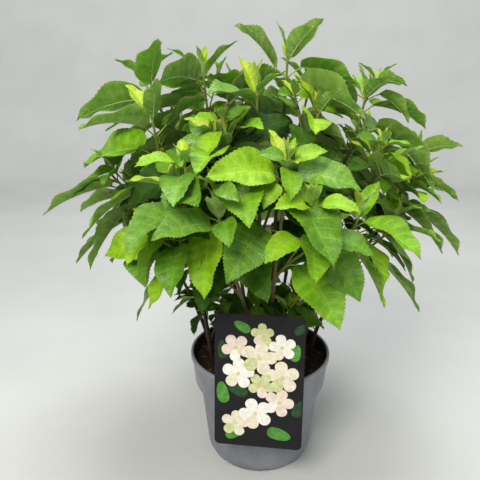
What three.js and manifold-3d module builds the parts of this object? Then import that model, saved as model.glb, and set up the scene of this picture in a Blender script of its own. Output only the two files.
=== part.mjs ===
// A hydrangea shrub in its nursery pot: bare stems that rise out of the soil, and on each of them a mass of
// foliage, in which a leader and one fork carry crossed pairs of long-stalked leaves. Millimetres, +Z up,
// with the origin at the middle of the pot's flat underside. Bearings are degrees from +X towards +Y, and
// the front of the plant, where its label hangs, is -Y.
import * as THREE from 'three';
import { mergeVertices } from 'three/addons/utils/BufferGeometryUtils.js';
import Module from 'manifold-3d';

const wasm = await Module();
wasm.setup();

const V = (x, y, z) => new THREE.Vector3(x, y, z);
const rad = THREE.MathUtils.degToRad;
const lerp = THREE.MathUtils.lerp;
const GAP = 0.3; // what two neighbours keep between them

// ---- driving dimensions ----

const POT = {
  height: 180,
  wall: 1.6,
  lipRadius: 115,
  lipDepth: 8,
  lipOverhang: 2.4, // how far the lip stands out of the band below it
  bandFootRadius: 108.5, // the wide upper band ends here, on the shoulder
  bandFootHeight: 128,
  shoulderRadius: 98.5, // and the tapering body starts here
  shoulderHeight: 113,
  bodyFootRadius: 88,
  bodyFootHeight: 12,
  baseRadius: 81.5,
  drainHoles: 8,
  drainTurn: 7.5,
  drainWidth: 16,
  drainHeight: 5,
  sides: 32,
};

const SOIL = { height: 160, mound: 6 };

const LABEL = {
  width: 130,
  height: 207,
  thick: 0.8,
  corner: 8,
  belowRim: 98, // how much of it hangs lower than the pot's rim
  yaw: 5,
  aside: 9, // to the right of where it touches the rim
  lean: 5, // its top leans back over the pot
  tongueWidth: 16,
  tongueThick: 1,
  tongueOver: 14, // the fold passes this far above the rim
  tongueBack: 26,
  tongueReach: 50,
  tonguePoint: 14,
};

const STEM = {
  footRadius: 3.4,
  flare: 1.45, // the foot of a stem is this much thicker, over flareLength
  flareLength: 9,
  tipRadius: 1.6,
  bareTo: 262, // a bough ends and its foliage starts at about this height
  boughSides: 5,
  boughSteps: 4,
  twigSides: 3,
  twigSteps: 6,
  forkFrom: 0.42, // how far along its bough's whole stem a fork leaves it
  forkRadius: 0.8, // its thickness at the root, against the stem there
};

// One row a bough: its name, where its foot stands in the soil as [bearing, distance from the axis], where
// its leader's and its fork's tips end as [bearing, distance, height], the turn of the leader's first pair,
// the size of its leaves, and by how many degrees they hang less steeply than the pairs below say.
const BOUGHS = [
  ['front', [285, 45], [281, 153, 506], [293, 180, 420], 20, 0.84, 0],
  ['front_left', [246, 40], [245, 121, 531], [232, 182, 477], 65, 0.9, 0],
  ['low_front', [256, 30], [254, 184, 449], [220, 190, 416], 10, 0.84, 2],
  ['left', [205, 84], [205, 164, 560], [181, 236, 480], 40, 1, 10],
  ['right', [340, 66], [343, 168, 488], [312, 182, 440], 75, 0.95, 4],
  ['crown', [330, 14], [17, 36, 640], [50, 116, 604], 5, 1.05, 13],
  ['upper_front', [282, 14], [262, 60, 592], [322, 96, 566], 35, 0.9, 6],
  ['left_top', [165, 34], [167, 91, 620], [162, 198, 614], 85, 1, 16],
  ['right_top', [22, 44], [11, 156, 586], [34, 212, 530], 30, 1, 6],
  ['far_right', [8, 84], [2, 218, 462], [340, 196, 412], 55, 0.95, 6],
  ['far_left', [172, 84], [168, 214, 440], [198, 206, 396], 15, 0.95, 6],
  ['back', [108, 36], [112, 132, 592], [92, 198, 512], 50, 1, 6],
  ['back_left', [138, 70], [137, 208, 522], [116, 214, 436], 70, 1, 2],
  ['back_right', [62, 70], [66, 204, 496], [40, 214, 426], 25, 1, 2],
].map(([name, foot, tip, fork, turn, size, lift]) => ({ name, foot, tip, fork, turn, size, lift }));
// The seed of a bough's small differences: the first bough's, and the step to the next one's.
const SEED = { first: 101, step: 17 };

// The pairs of leaves on a shoot, from its tip down: how far below the tip, the blade's length and half
// width, the stalk's length and its rise above the horizontal, the blade's pitch at its base and at its tip,
// and how strongly it is drawn outwards.
const PAIRS = [
  { below: 2, blade: 42, half: 0.17, stalk: 4, rise: 74, base: 78, end: 62, pull: 0 },
  { below: 10, blade: 67, half: 0.225, stalk: 9, rise: 55, base: 40, end: 12, pull: 0.1 },
  { below: 30, blade: 98, half: 0.31, stalk: 24, rise: 40, base: 0, end: -34, pull: 0.3 },
  { below: 66, blade: 114, half: 0.33, stalk: 38, rise: 30, base: -24, end: -56, pull: 0.45 },
  { below: 116, blade: 116, half: 0.33, stalk: 48, rise: 20, base: -34, end: -64, pull: 0.6 },
  { below: 176, blade: 104, half: 0.33, stalk: 50, rise: 10, base: -42, end: -70, pull: 0.75 },
  { below: 240, blade: 88, half: 0.33, stalk: 44, rise: 2, base: -48, end: -76, pull: 0.85 },
];

const LEAF = {
  forkScale: 0.9,
  stations: [[0.45], [0.3, 0.68], [0.16, 0.42, 0.74]], // on the youngest pair, on the next, on all others
  thick: 0.013, // of the blade's length, at the midrib
  leastThick: 1.2,
  stalkRadius: 1.1, // at the blade
  rootRadius: 0.5, // and in the middle of the twig, where its root is sunk
  fold: [28, 10], // how far the two halves rise from flat, on the youngest and on the oldest pair
  lift: 42, // a blade that points back into the plant is raised by this much
  face: 42, // and one that points aside is rolled by this much, its upper side outwards
  wander: { size: 0.13, heading: 16, pitch: 16, roll: 20 },
  tries: [0, 18, -18, 36, -36], // degrees by which a leaf turns aside to find room
  clear: 0.6,
};

// No leaf reaches out of the crown: two half ellipses about one level, with rather square shoulders.
const CROWN = { level: 436, above: 252, below: 214, radius: 320, square: 2.4 };

// ---- small tools ----

// A repeatable row of numbers from 0 to 1, the same for the same seed.
function numbers(seed) {
  let state = seed;
  return () => {
    state = (Math.imul(state, 1664525) + 1013904223) >>> 0;
    return state / 4294967296;
  };
}

function solid(geometry) {
  const bare = new THREE.BufferGeometry().setAttribute('position', geometry.getAttribute('position'));
  bare.setIndex(geometry.index);
  const merged = mergeVertices(bare, 1e-4);
  return new wasm.Manifold(new wasm.Mesh({
    numProp: 3,
    vertProperties: merged.attributes.position.array,
    triVerts: new Uint32Array(merged.index.array),
  }));
}

function geometryOf(manifold) {
  const mesh = manifold.getMesh();
  const geometry = new THREE.BufferGeometry();
  geometry.setAttribute('position', new THREE.BufferAttribute(mesh.vertProperties, 3));
  geometry.setIndex(new THREE.BufferAttribute(mesh.triVerts, 1));
  geometry.computeVertexNormals();
  return geometry;
}

// A closed skin over rings of points, which run anticlockwise seen from the end. A ring of one point is a
// tip.
function loft(rings) {
  const points = rings.flat();
  const index = [];
  let start = 0;
  for (let r = 0; r + 1 < rings.length; r++) {
    const n = rings[r].length;
    const next = start + n;
    for (let i = 0; i < n; i++) {
      const j = (i + 1) % n;
      if (rings[r + 1].length === 1) index.push(start + i, start + j, next);
      else index.push(start + i, start + j, next + j, start + i, next + j, next + i);
    }
    start = next;
  }
  for (let i = 1; i + 1 < rings[0].length; i++) index.push(0, i + 1, i);
  for (let i = 1; i + 1 < rings.at(-1).length; i++) index.push(start, start + i, start + i + 1);
  const geometry = new THREE.BufferGeometry().setFromPoints(points);
  return geometry.setIndex(index);
}

// A limb of round section along a curve, with a ring at each share of it. A level foot is cut flat.
function limb(curve, shares, radius, sides, levelFoot = false) {
  const rings = shares.map((t, i) => {
    const along = levelFoot && i === 0 ? V(0, 0, 1) : curve.getTangent(t);
    const across = V(0, 1, 0).cross(along).normalize();
    const up = along.clone().cross(across);
    return Array.from({ length: sides }, (_, k) => {
      const turn = (2 * Math.PI * k) / sides;
      return curve.getPoint(t)
        .addScaledVector(across, radius(t) * Math.cos(turn))
        .addScaledVector(up, radius(t) * Math.sin(turn));
    });
  });
  return solid(loft(rings));
}

function polar([bearing, reach, height = 0]) {
  return V(reach * Math.cos(rad(bearing)), reach * Math.sin(rad(bearing)), height);
}

// ---- the pot, its soil and its label ----

function potProfile(inset) {
  const p = POT;
  const lipFoot = p.height - p.lipDepth;
  const bandTop = p.lipRadius - p.lipOverhang;
  return [
    [p.baseRadius - inset, inset],
    [p.bodyFootRadius - inset, p.bodyFootHeight],
    [p.shoulderRadius - inset, p.shoulderHeight],
    [p.bandFootRadius - inset, p.bandFootHeight],
    [bandTop - inset, lipFoot],
  ].map(([r, z]) => new THREE.Vector2(r, z));
}

function potSolid() {
  const p = POT;
  const inner = potProfile(p.wall);
  const top = p.height;
  const lip = [
    [p.lipRadius, top - p.lipDepth],
    [p.lipRadius, top - 1.5],
    [p.lipRadius - 1.5, top],
    [p.lipRadius - p.lipOverhang - p.wall, top],
  ].map(([r, z]) => new THREE.Vector2(r, z));
  const profile = [
    new THREE.Vector2(0, 0),
    ...potProfile(0),
    ...lip,
    ...inner.reverse(),
    new THREE.Vector2(0, p.wall),
  ];
  let pot = solid(new THREE.LatheGeometry(profile, p.sides).rotateX(Math.PI / 2));
  for (let i = 0; i < p.drainHoles; i++) {
    const hole = new THREE.BoxGeometry(p.drainWidth, 14, p.drainHeight * 2);
    hole.translate(0, p.bodyFootRadius, 0).rotateZ(rad(p.drainTurn + (360 * i) / p.drainHoles));
    pot = pot.subtract(solid(hole));
  }
  return pot;
}

function soilTop(x, y) {
  const share = Math.hypot(x, y) / POT.shoulderRadius;
  return SOIL.height + SOIL.mound * Math.max(0, 1 - share * share);
}

function soilSolid(tongue) {
  const inside = potProfile(POT.wall + GAP).filter((point) => point.y < SOIL.height);
  const last = inside.at(-1);
  const band = potProfile(POT.wall + GAP).at(-1);
  const share = (SOIL.height - last.y) / (band.y - last.y);
  inside.push(new THREE.Vector2(lerp(last.x, band.x, share), SOIL.height));
  const mound = [0.8, 0.5, 0.25].map((k) => {
    const r = k * POT.shoulderRadius;
    return new THREE.Vector2(r, soilTop(r, 0));
  });
  const profile = [
    new THREE.Vector2(0, POT.wall + GAP),
    ...inside,
    ...mound,
    new THREE.Vector2(0, soilTop(0, 0)),
  ];
  const earth = solid(new THREE.LatheGeometry(profile, POT.sides).rotateX(Math.PI / 2));
  return earth.subtract(tongue);
}

// The label stands in a frame of its own: x to the right, y backwards and z up, from where it meets the rim.
function labelPlace(geometry) {
  const l = LABEL;
  geometry.rotateX(-rad(l.lean));
  geometry.translate(l.aside, -POT.lipRadius - GAP, POT.height);
  return geometry.rotateZ(-rad(l.yaw));
}

function tongueShape(grow) {
  const l = LABEL;
  const half = l.tongueThick / 2 + grow;
  const outline = new THREE.Shape([
    new THREE.Vector2(-0.4, l.tongueOver - half),
    new THREE.Vector2(l.tongueBack - half, l.tongueOver - half),
    new THREE.Vector2(l.tongueBack - half, l.tonguePoint - l.tongueReach),
    new THREE.Vector2(l.tongueBack, -l.tongueReach - grow),
    new THREE.Vector2(l.tongueBack + half, l.tonguePoint - l.tongueReach),
    new THREE.Vector2(l.tongueBack + half, l.tongueOver),
    new THREE.Vector2(l.tongueBack, l.tongueOver + half),
    new THREE.Vector2(-0.4, l.tongueOver + half),
  ]);
  const depth = l.tongueWidth + 2 * grow;
  const strip = new THREE.ExtrudeGeometry(outline, { depth, bevelEnabled: false });
  strip.translate(0, 0, -depth / 2);
  // the outline is drawn in y and z, and its depth lies along x
  strip.applyMatrix4(new THREE.Matrix4().set(0, 0, 1, 0, 1, 0, 0, 0, 0, 1, 0, 0, 0, 0, 0, 1));
  return labelPlace(strip);
}

function labelSolid() {
  const l = LABEL;
  const low = -l.belowRim;
  const high = l.height - l.belowRim;
  const side = l.width / 2;
  const c = l.corner;
  const face = new THREE.Shape();
  face.absarc(side - c, high - c, c, 0, Math.PI / 2);
  face.absarc(-side + c, high - c, c, Math.PI / 2, Math.PI);
  face.absarc(-side + c, low + c, c, Math.PI, 1.5 * Math.PI);
  face.absarc(side - c, low + c, c, 1.5 * Math.PI, 2 * Math.PI);
  const panel = new THREE.ExtrudeGeometry(face, { depth: l.thick, bevelEnabled: false, curveSegments: 4 });
  panel.rotateX(Math.PI / 2);
  return solid(labelPlace(panel)).add(solid(tongueShape(0)));
}

// ---- stems ----

// A shoot rises steeply out of its root, leans out to its place and straightens up again at its tip.
function shootCurve(root, tip) {
  const rise = tip.z - root.z;
  const low = root.clone().lerp(tip, 0.16).setZ(root.z + 0.42 * rise);
  const high = root.clone().lerp(tip, 0.86).setZ(root.z + 0.74 * rise);
  return new THREE.CubicBezierCurve3(root, low, high, tip);
}

// The share of a curve at which it has risen to a height.
function shareAtHeight(curve, height) {
  let low = 0;
  let high = 1;
  for (let i = 0; i < 40; i++) {
    const middle = (low + high) / 2;
    if (curve.getPoint(middle).z < height) low = middle;
    else high = middle;
  }
  return low;
}

function boughOf(row) {
  const [bearing, reach] = row.foot;
  const inner = polar([bearing, Math.max(0, reach - STEM.footRadius * STEM.flare)]);
  const root = polar([bearing, reach, soilTop(inner.x, inner.y) + GAP]);
  const curve = shootCurve(root, polar(row.tip));
  const length = curve.getLength();
  const radius = (t) => {
    const flare = Math.max(0, 1 - (t * length) / STEM.flareLength);
    return lerp(STEM.footRadius, STEM.tipRadius, t) * (1 + (STEM.flare - 1) * flare * flare);
  };
  const bareEnd = shareAtHeight(curve, STEM.bareTo);
  return { row, curve, radius, bareEnd };
}

function boughSolid({ curve, radius, bareEnd }) {
  const shares = Array.from({ length: STEM.boughSteps + 1 }, (_, i) => (i / STEM.boughSteps) * bareEnd);
  shares.splice(1, 0, 0.03);
  return limb(curve, shares, radius, STEM.boughSides, true);
}

// ---- leaves ----

// The half width of a blade at a share of its length, from 0 to 1: round at the base, drawn out at the tip.
function bladeShape(share) {
  const peak = 0.6 / 1.7;
  const most = peak ** 0.6 * (1 - peak) ** 1.1;
  return (share ** 0.6 * (1 - share) ** 1.1) / most;
}

// A point on the midrib, and the directions along, across and up from it. The pitch changes evenly, on an
// arc.
function midrib(leaf, share) {
  const { neck, heading, base, end, roll, length } = leaf;
  const pitch = lerp(base, end, share);
  const bend = end - base;
  const out = (length * (Math.sin(pitch) - Math.sin(base))) / bend;
  const up = (length * (Math.cos(base) - Math.cos(pitch))) / bend;
  const point = neck.clone().add(V(out * Math.cos(heading), out * Math.sin(heading), up));
  const along = V(Math.cos(heading) * Math.cos(pitch), Math.sin(heading) * Math.cos(pitch), Math.sin(pitch));
  const level = V(Math.sin(heading), -Math.cos(heading), 0);
  const normal = level.clone().cross(along).applyAxisAngle(along, roll);
  const across = normal.clone().cross(along);
  return { point, along, across, normal };
}

// One leaf: a stalk that widens into a blade folded a little along its midrib. grow thickens it all over.
function leafGeometry(leaf, grow = 0) {
  const thick = Math.max(LEAF.thick * leaf.length, LEAF.leastThick) / 2 + grow;
  const stalk = leaf.neck.clone().sub(leaf.node).normalize();
  const neck = midrib(leaf, 0);
  const side = neck.normal.clone().cross(stalk).normalize();
  const over = stalk.clone().cross(side);
  const ring = (point, across, normal, radius, tall) => [
    point.clone().addScaledVector(across, radius),
    point.clone().addScaledVector(normal, tall),
    point.clone().addScaledVector(across, -radius),
    point.clone().addScaledVector(normal, -tall),
  ];
  const stalkRadius = LEAF.stalkRadius + grow;
  const rootRadius = LEAF.rootRadius + grow;
  const rings = [
    ring(leaf.node, side, over, rootRadius, rootRadius),
    ring(leaf.neck, neck.across, neck.normal, stalkRadius, stalkRadius),
  ];
  for (const share of LEAF.stations[Math.min(leaf.order, 2)]) {
    const { point, across, normal } = midrib(leaf, share);
    const half = leaf.half * leaf.length * bladeShape(share) + grow;
    const rise = half * Math.sin(leaf.fold);
    const reach = half * Math.cos(leaf.fold);
    rings.push([
      point.clone().addScaledVector(across, reach).addScaledVector(normal, rise),
      point.clone().addScaledVector(normal, thick),
      point.clone().addScaledVector(across, -reach).addScaledVector(normal, rise),
      point.clone().addScaledVector(normal, -thick),
    ]);
  }
  rings.push([midrib(leaf, 1).point]);
  return loft(rings);
}

// The leaves that a shoot would bear, pair by pair from its tip down, each a quarter turn from the last.
function leavesOf(shoot, random) {
  const leaves = [];
  PAIRS.forEach((pair, order) => {
    const below = pair.below * shoot.scale;
    const at = 1 - below / shoot.length;
    if (at < shoot.leafFrom) return;
    const t = shoot.curve.getUtoTmapping(at);
    const node = shoot.curve.getPoint(t);
    const age = order / (PAIRS.length - 1);
    const outward = V(node.x, node.y, 0).normalize();
    for (const side of [0, 180]) {
      const swing = () => 2 * random() - 1;
      const turn = rad(shoot.turn + 90 * order + side);
      const flat = V(Math.cos(turn), Math.sin(turn), 0);
      const towards = flat.addScaledVector(outward, pair.pull).normalize();
      leaves.push({
        shoot,
        node,
        order,
        heading: Math.atan2(towards.y, towards.x) + rad(LEAF.wander.heading * swing()),
        length: pair.blade * shoot.scale * (1 + LEAF.wander.size * swing()),
        half: pair.half,
        stalk: pair.stalk * shoot.scale,
        rise: rad(pair.rise),
        tilt: rad(shoot.lift * Math.min(1, 2 * age) + LEAF.wander.pitch * swing()),
        lean: rad(LEAF.wander.roll * swing()) * Math.min(1, 2 * age),
        fold: rad(lerp(LEAF.fold[0], LEAF.fold[1], age)),
        outward: Math.atan2(outward.y, outward.x),
        age,
      });
    }
  });
  return leaves;
}

// The same leaf turned aside by some degrees, with its stalk set in place and its blade pitched to suit.
function turned(leaf, aside) {
  const heading = leaf.heading + rad(aside);
  const level = leaf.stalk * Math.cos(leaf.rise);
  const reach = V(level * Math.cos(heading), level * Math.sin(heading), leaf.stalk * Math.sin(leaf.rise));
  const off = heading - leaf.outward;
  const mature = Math.min(1, 3 * leaf.age);
  const lifted = leaf.tilt + (rad(LEAF.lift) * mature * (1 - Math.cos(off))) / 2;
  return {
    ...leaf,
    heading,
    neck: leaf.node.clone().add(reach),
    base: rad(PAIRS[leaf.order].base) + lifted,
    end: rad(PAIRS[leaf.order].end) + lifted,
    roll: leaf.lean + rad(LEAF.face) * mature * Math.sin(off),
  };
}

function inCrown(point) {
  const up = point.z - CROWN.level;
  const tall = Math.abs(up) / (up > 0 ? CROWN.above : CROWN.below);
  const wide = Math.hypot(point.x, point.y) / CROWN.radius;
  const ahead = -POT.lipRadius - point.y;
  const label = ahead > -30 && Math.abs(point.x) < LABEL.width / 2 + 12;
  const hides = label && point.z < POT.height + LABEL.height - LABEL.belowRim + 0.45 * ahead;
  return !hides && tall ** CROWN.square + wide ** CROWN.square < 1;
}

// ---- the whole plant ----

// What stands in a leaf's way, with its box, so that only near neighbours are cut against each other.
const inTheWay = [];

function block(shape, owner = {}) {
  inTheWay.push({ shape, owner, box: shape.boundingBox() });
}

// Two leaves of one pair, and all of a shoot's bud, are let off each other, and a leaf its own twig.
function letOff(leaf, owner) {
  if (owner.shoot !== leaf.shoot) return false;
  return owner.order === undefined || owner.order === leaf.order || Math.max(owner.order, leaf.order) < 2;
}

function meets(leaf, shape) {
  const a = shape.boundingBox();
  return inTheWay.some(({ shape: other, owner, box: b }) => {
    const apart = [0, 1, 2].some((k) => a.min[k] > b.max[k] || b.min[k] > a.max[k]);
    return !apart && !letOff(leaf, owner) && !shape.intersect(other).isEmpty();
  });
}

// The first turn of a leaf that finds room for it, or nothing where none does.
function fitted(leaf) {
  for (const aside of LEAF.tries) {
    const tried = turned(leaf, aside);
    if (![0.5, 1].every((share) => inCrown(midrib(tried, share).point))) continue;
    if (meets(tried, solid(leafGeometry(tried, LEAF.clear)))) continue;
    block(solid(leafGeometry(tried)), tried);
    return tried;
  }
  return null;
}

// The leader goes on a gap above its bough's end, and the fork leaves it a little higher.
function shootsOf({ curve, radius, bareEnd, row }) {
  let from = bareEnd;
  while (curve.getPoint(from).distanceTo(curve.getPoint(bareEnd)) < GAP) from += 1e-4;
  const split = Math.max(STEM.forkFrom, bareEnd + 0.03);
  const forkCurve = shootCurve(curve.getPoint(split), polar(row.fork));
  const thick = radius(split) * STEM.forkRadius;
  const leader = { curve, radius, from, scale: row.size, turn: row.turn, leafFrom: bareEnd + 0.02 };
  const fork = {
    curve: forkCurve,
    radius: (t) => lerp(thick, STEM.tipRadius, t),
    from: 0,
    scale: row.size * LEAF.forkScale,
    turn: row.turn + 45,
    leafFrom: 0.2,
  };
  return [leader, fork].map((shoot) => ({ ...shoot, lift: row.lift, length: shoot.curve.getLength() }));
}

function twigSolid({ curve, from, radius }) {
  const shares = Array.from({ length: STEM.twigSteps + 1 }, (_, i) => lerp(from, 1, i / STEM.twigSteps));
  return limb(curve, shares, radius, STEM.twigSides);
}

const material = (color, roughness) => new THREE.MeshStandardMaterial({ color, roughness, metalness: 0 });
const FINISH = {
  pot: material('#85888f', 0.5),
  soil: material('#2a1d15', 0.95),
  label: material('#15131a', 0.35),
  stem: material('#4a2f22', 0.8),
  foliage: material('#5f9a25', 0.5),
};

const plant = new THREE.Group();

function add(name, shape, finish) {
  const mesh = new THREE.Mesh(geometryOf(shape), finish);
  mesh.name = name;
  plant.add(mesh);
}

const pot = potSolid();
const label = labelSolid();
const soil = soilSolid(solid(tongueShape(GAP)));
[pot, label, soil].forEach((shape) => block(shape));
add('pot', pot, FINISH.pot);
add('soil', soil, FINISH.soil);
add('plant_label', label, FINISH.label);

const boughs = BOUGHS.map(boughOf);
for (const bough of boughs) {
  const shape = boughSolid(bough);
  block(shape);
  add(`stem_${bough.row.name}`, shape, FINISH.stem);
}
for (const bough of boughs) {
  bough.shoots = shootsOf(bough);
  bough.twigs = bough.shoots.map(twigSolid);
  bough.twigs.forEach((twig, i) => block(twig, { shoot: bough.shoots[i] }));
}
boughs.forEach((bough, i) => {
  const random = numbers(SEED.first + SEED.step * i);
  const leaves = bough.shoots.flatMap((shoot) => leavesOf(shoot, random).map(fitted));
  const blades = leaves.filter((leaf) => leaf).map((leaf) => solid(leafGeometry(leaf)));
  add(`foliage_${bough.row.name}`, wasm.Manifold.union([...bough.twigs, ...blades]), FINISH.foliage);
});

export default plant;
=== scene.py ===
# A hydrangea shrub in its nursery pot. Its shoots and leaves grow by the rule of the part's own solids,
# which is carried on here to side shoots. Plant and pot are in millimetres until a mesh is made, and the
# studio is in metres, with +Z up. The front, where the label hangs, is -Y. Bearings are degrees from +X
# towards +Y.
import math
import bpy
import numpy as np
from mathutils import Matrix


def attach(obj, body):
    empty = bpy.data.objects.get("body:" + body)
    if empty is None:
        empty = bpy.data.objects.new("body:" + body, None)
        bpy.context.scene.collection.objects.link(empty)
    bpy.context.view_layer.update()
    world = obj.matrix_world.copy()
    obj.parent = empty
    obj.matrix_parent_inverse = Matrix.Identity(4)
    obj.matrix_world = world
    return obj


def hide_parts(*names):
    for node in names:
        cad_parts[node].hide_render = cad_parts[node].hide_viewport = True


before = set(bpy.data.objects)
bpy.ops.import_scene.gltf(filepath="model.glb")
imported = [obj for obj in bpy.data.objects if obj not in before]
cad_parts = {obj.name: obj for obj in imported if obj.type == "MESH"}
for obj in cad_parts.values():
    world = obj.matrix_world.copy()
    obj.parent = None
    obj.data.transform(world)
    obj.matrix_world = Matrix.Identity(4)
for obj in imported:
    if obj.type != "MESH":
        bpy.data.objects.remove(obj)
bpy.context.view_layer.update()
print("frame loaded with", len(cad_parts), "nodes")


# A repeatable row of numbers from 0 to 1: each state is the last one times a constant plus another.
def numbers(seed):
    state = seed
    while True:
        state = (state * 1664525 + 1013904223) % 4294967296
        yield state / 4294967296


def lerp(a, b, share):
    return a + (b - a) * share


def unit(vectors):
    return vectors / np.linalg.norm(vectors, axis=-1, keepdims=True)


def compass(bearing, reach, height=0.0):
    turn = math.radians(bearing)
    return np.array([reach * math.cos(turn), reach * math.sin(turn), height])


def fullTurn(count):
    return np.linspace(0, 2 * np.pi, count, endpoint=False)


# Points about the axis: x = r cos a and y = r sin a, at the height z.
def aroundAxis(reach, turn, height):
    return np.stack([reach * np.cos(turn), reach * np.sin(turn), height + 0 * turn], -1)


# Faces of rings of points that follow each other, anticlockwise seen from the last ring. Each point is
# joined to the next in its ring and to the same two in the ring after. The ends close on one point each, or
# on a flat face.
def ringFaces(copies, rings, sides, poles=False):
    near = np.arange(sides)
    far = np.roll(near, -1)
    step = sides * np.arange(rings - 1)[:, None]
    quads = np.stack([near + step, far + step, far + step + sides, near + step + sides], -1)
    size = rings * sides + (2 if poles else 0)
    offset = size * np.arange(copies)
    last = (rings - 1) * sides
    if poles:
        first = np.stack([np.full(sides, rings * sides), far, near], -1)
        final = np.stack([near + last, far + last, np.full(sides, rings * sides + 1)], -1)
        ends = np.stack([first, final])[None] + offset[:, None, None, None]
        ends = ends.reshape(copies, -1, 3)
    else:
        ends = np.stack([near[::-1], near + last])[None] + offset[:, None, None]
    return quads[None] + offset[:, None, None, None], ends


# One mesh object from points in millimetres and from sets of faces, each set an array of corners. marks
# gives each set's material numbers, and values are named numbers kept at the points for the materials.
def makePiece(name, points, faceSets, finishes, marks=None, values=None, sharp=50):
    faceSets = [faces.reshape(-1, faces.shape[-1]) for faces in faceSets]
    corners = np.concatenate([faces.ravel() for faces in faceSets])
    sizes = np.concatenate([np.full(len(faces), faces.shape[-1]) for faces in faceSets])
    mesh = bpy.data.meshes.new(name)
    mesh.vertices.add(points.size // 3)
    mesh.vertices.foreach_set("co", (points * 0.001).astype(np.float32).ravel())
    mesh.loops.add(len(corners))
    mesh.loops.foreach_set("vertex_index", corners.astype(np.int32))
    mesh.polygons.add(len(sizes))
    mesh.polygons.foreach_set("loop_start", np.concatenate([[0], np.cumsum(sizes)[:-1]]).astype(np.int32))
    if marks is not None:
        numbersOf = np.concatenate([np.asarray(mark).ravel() for mark in marks])
        mesh.polygons.foreach_set("material_index", numbersOf.astype(np.int32))
    for key, value in (values or {}).items():
        mesh.attributes.new(key, "FLOAT", "POINT").data.foreach_set("value", value.astype(np.float32).ravel())
    mesh.update(calc_edges=True)
    mesh.polygons.foreach_set("use_smooth", np.ones(len(sizes), bool))
    mesh.set_sharp_from_angle(angle=math.radians(sharp))
    for finish in finishes:
        mesh.materials.append(finish)
    piece = bpy.data.objects.new(name, mesh)
    bpy.context.scene.collection.objects.link(piece)
    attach(piece, "root")
    print(name, len(points.reshape(-1, 3)), "points,", int((sizes - 2).sum()), "triangles")
    return piece


# Round tubes along paths, all with as many stations: each ring's points are the path's point plus the
# radius times the cosine of their turn across it and the sine over it. swell multiplies the radius point by
# point.
def tubePoints(paths, radii, sides, swell=1.0):
    along = unit(np.gradient(paths, axis=1))
    level = np.abs(along[..., 1].mean(1)) > 0.8
    guide = np.where(level[:, None], [[1.0, 0.0, 0.0]], [[0.0, 1.0, 0.0]])[:, None, :]
    across = unit(np.cross(np.broadcast_to(guide, along.shape), along))
    over = np.cross(along, across)
    turn = fullTurn(sides)
    spread = (radii[..., None] * swell * np.ones(sides))[..., None]
    ring = across[:, :, None] * np.cos(turn)[:, None] + over[:, :, None] * np.sin(turn)[:, None]
    return paths[:, :, None] + ring * spread


# Materials.

# A colour written as in a picture, turned to the linear numbers that shaders take.
def tone(code):
    parts = np.array([int(code[i:i + 2], 16) for i in (1, 3, 5)]) / 255
    linear = np.where(parts <= 0.04045, parts / 12.92, ((parts + 0.055) / 1.055) ** 2.4)
    return (*linear, 1.0)


# Adds a node: settings are its own properties, and each input gets a value or another node's output.
def addNode(tree, kind, settings=None, inputs=None):
    node = tree.nodes.new(kind)
    for key, value in (settings or {}).items():
        setattr(node, key, value)
    for key, value in (inputs or {}).items():
        if isinstance(value, bpy.types.NodeSocket):
            tree.links.new(value, node.inputs[key])
        else:
            node.inputs[key].default_value = value
    return node


# A new material, its nodes, its shader, and the place on the object in metres.
def newMaterial(name, surface):
    material = bpy.data.materials.new(name)
    material.use_nodes = True
    tree = material.node_tree
    shader = tree.nodes["Principled BSDF"]
    for key, value in surface.items():
        shader.inputs[key].default_value = value
    return material, tree, shader, addNode(tree, "ShaderNodeTexCoord").outputs["Object"]


# A noise from 0 to 1, with scale grains to the metre.
def addNoise(tree, place, scale, detail=4.0):
    noise = addNode(tree, "ShaderNodeTexNoise", {}, {"Vector": place, "Scale": scale, "Detail": detail})
    return noise.outputs["Fac"]


# The colour that an amount from 0 to 1 picks between stops, the outer two of which come first.
def addRamp(tree, amount, stops):
    ramp = addNode(tree, "ShaderNodeValToRGB", {}, {"Fac": amount})
    elements = ramp.color_ramp.elements
    for index, (at, code) in enumerate(stops):
        stop = elements[index] if index < 2 else elements.new(at)
        stop.position = at
        stop.color = tone(code)
    return ramp.outputs["Color"]


# Lifts the surface where height is 1, by strength times distance in metres.
def addBump(tree, shader, height, strength, distance):
    bump = addNode(tree, "ShaderNodeBump", {}, {"Height": height, "Strength": strength, "Distance": distance})
    tree.links.new(bump.outputs["Normal"], shader.inputs["Normal"])


# Mottles a material between two colours and roughens it: one noise, whose grains are as many millimetres
# wide as grain says, mixes the colours, and a finer one lifts the surface by depth millimetres.
def mottled(name, surface, dark, light, grain, bumpGrain, depth):
    material, tree, shader, place = newMaterial(name, surface)
    colour = addRamp(tree, addNoise(tree, place, 1000 / grain), ((0.35, dark), (0.65, light)))
    tree.links.new(colour, shader.inputs["Base Color"])
    addBump(tree, shader, addNoise(tree, place, 1000 / bumpGrain, 3.0), 0.7, depth / 1000)
    return material


# Polypropylene, injection moulded: an even, faintly blue grey with a soft gloss, clouded by handling and
# dust.
potPlastic = mottled(
    "injectionMouldedPolypropylene", {"Roughness": 0.42, "IOR": 1.49},
    "#72747e", "#83858f", grain=34, bumpGrain=1.1, depth=0.05)

# The same plastic inside the pot, in its black inner layer, dull from wet peat. It also paints the drain
# slots black, as painted shade for holes that are only pressed in.
potInsideAndSlotShade = mottled(
    "blackPolypropyleneWithPeatDustAndPaintedSlotShade", {"Roughness": 0.55, "IOR": 1.49},
    "#0f0e0e", "#1d1a18", grain=12, bumpGrain=1.5, depth=0.08)

# Milled peat: nearly black where it is damp, brown where its fibres have dried, and without any gloss.
peat = mottled(
    "milledPeat", {"Roughness": 0.95, "Specular IOR Level": 0.2},
    "#130c08", "#3b2719", grain=5, bumpGrain=1.6, depth=0.9)
dryFibre = mottled(
    "driedPeatFibre", {"Roughness": 0.9, "Specular IOR Level": 0.2},
    "#4a3320", "#8a6a45", grain=8, bumpGrain=1.2, depth=0.1)

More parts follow.
